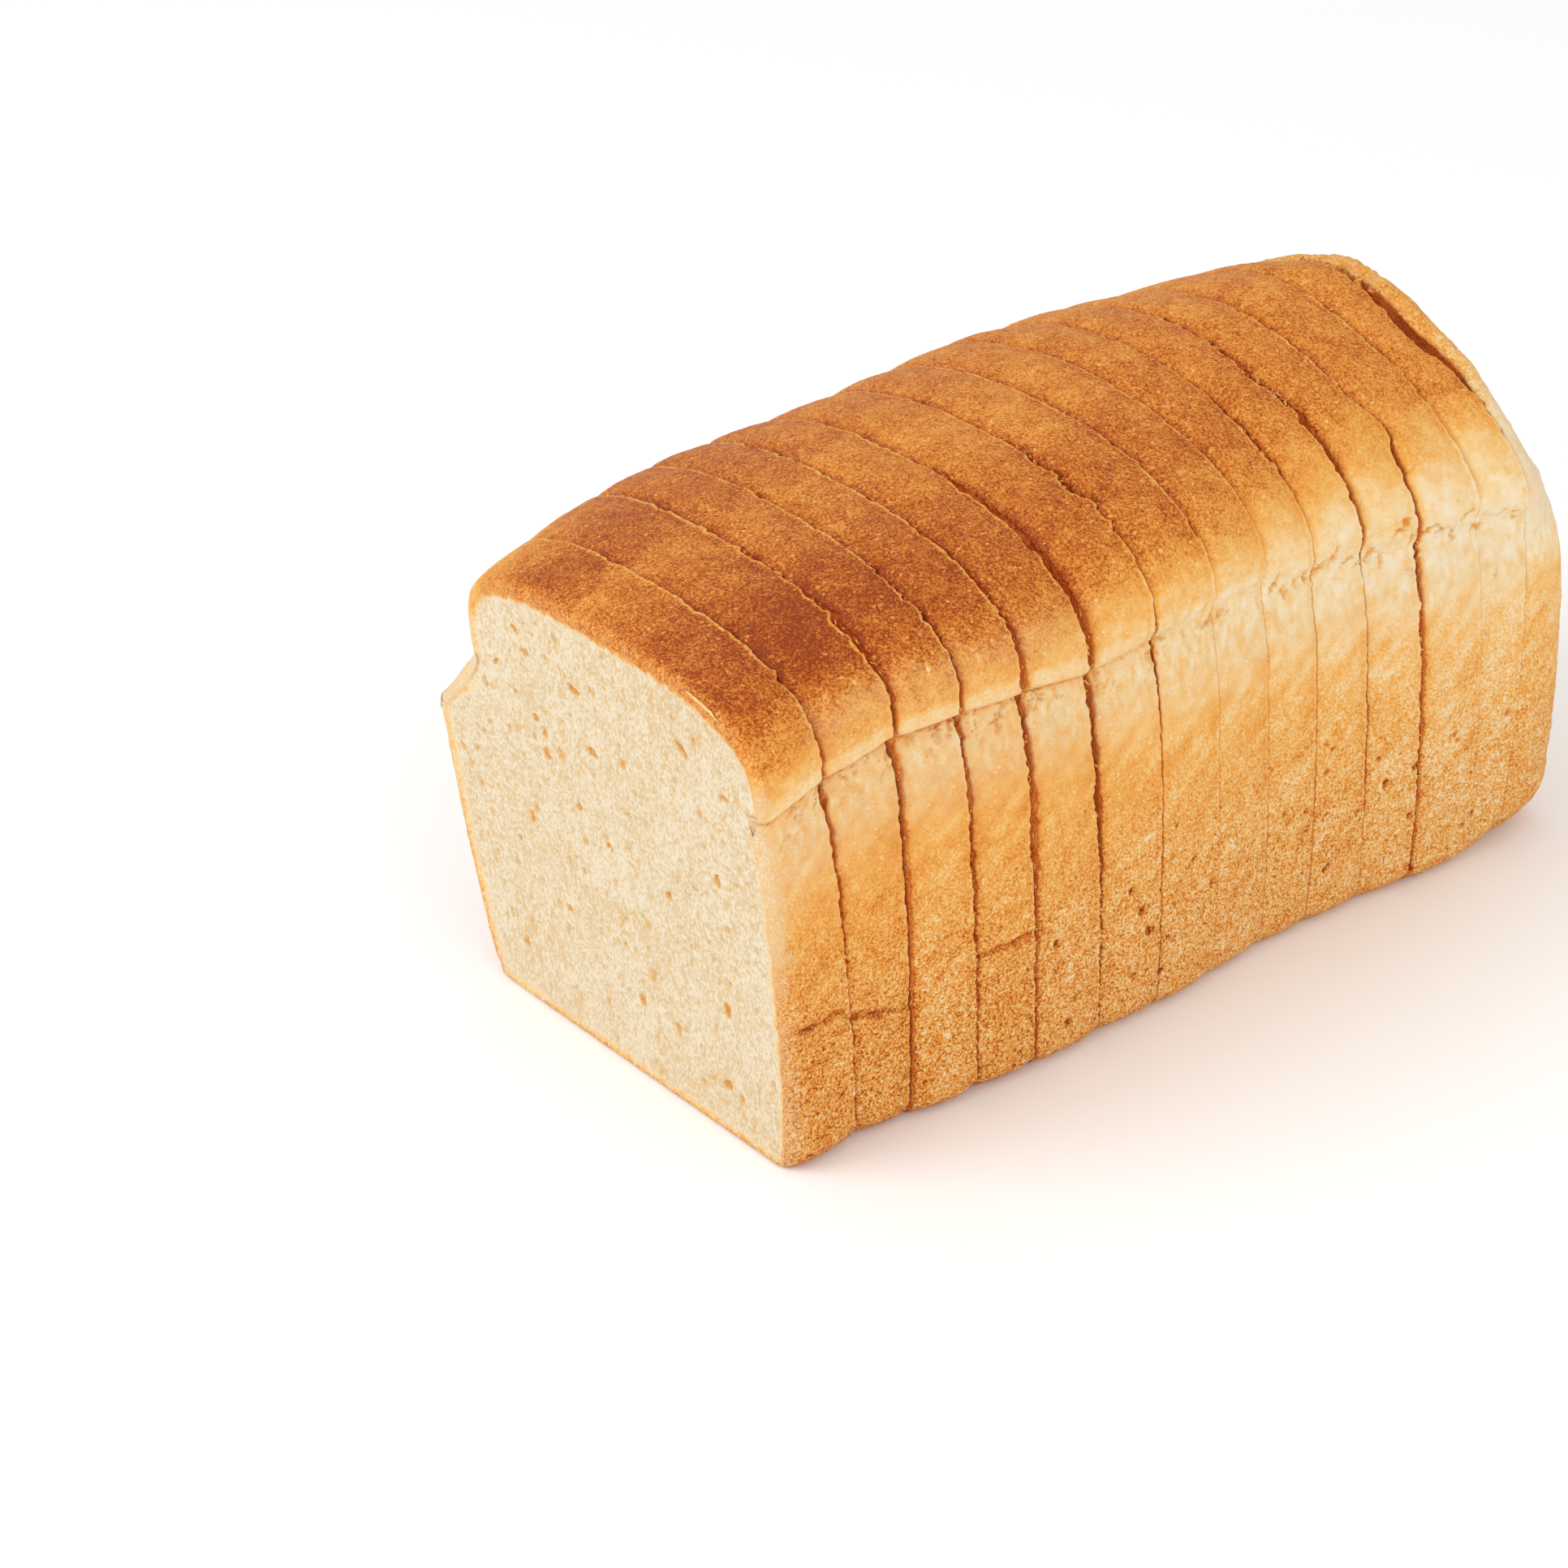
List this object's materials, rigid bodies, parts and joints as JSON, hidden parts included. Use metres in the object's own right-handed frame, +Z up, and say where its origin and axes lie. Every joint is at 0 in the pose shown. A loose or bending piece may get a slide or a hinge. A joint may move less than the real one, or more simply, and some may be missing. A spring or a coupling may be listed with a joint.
{
  "type": "sliced tin loaf",
  "caption": "White bread baked in a loaf tin, domed above a rim, cut across into slices that stand closed up, with the far end crust still on.",
  "frame": {"origin": "under the middle of the loaf, at the level of its base", "axes": "+Z up, +Y along the loaf from the open cut face to the end crust, +X across the loaf to the right of someone who looks at the open face"},
  "size_m": [0.1118, 0.1872, 0.1085],
  "materials": {
    "crumb": "matt bread crumb inside a thin browned crust",
    "crust": "satin golden brown bread crust"
  },
  "bodies": {
    "root": {"slice_01": "crumb", "slice_02": "crumb", "slice_03": "crumb", "slice_04": "crumb", "slice_05": "crumb", "slice_06": "crumb", "slice_07": "crumb", "slice_08": "crumb", "slice_09": "crumb", "slice_10": "crumb", "slice_11": "crumb", "slice_12": "crumb", "slice_13": "crumb", "end_crust": "crust"}
  },
  "joints": []
}
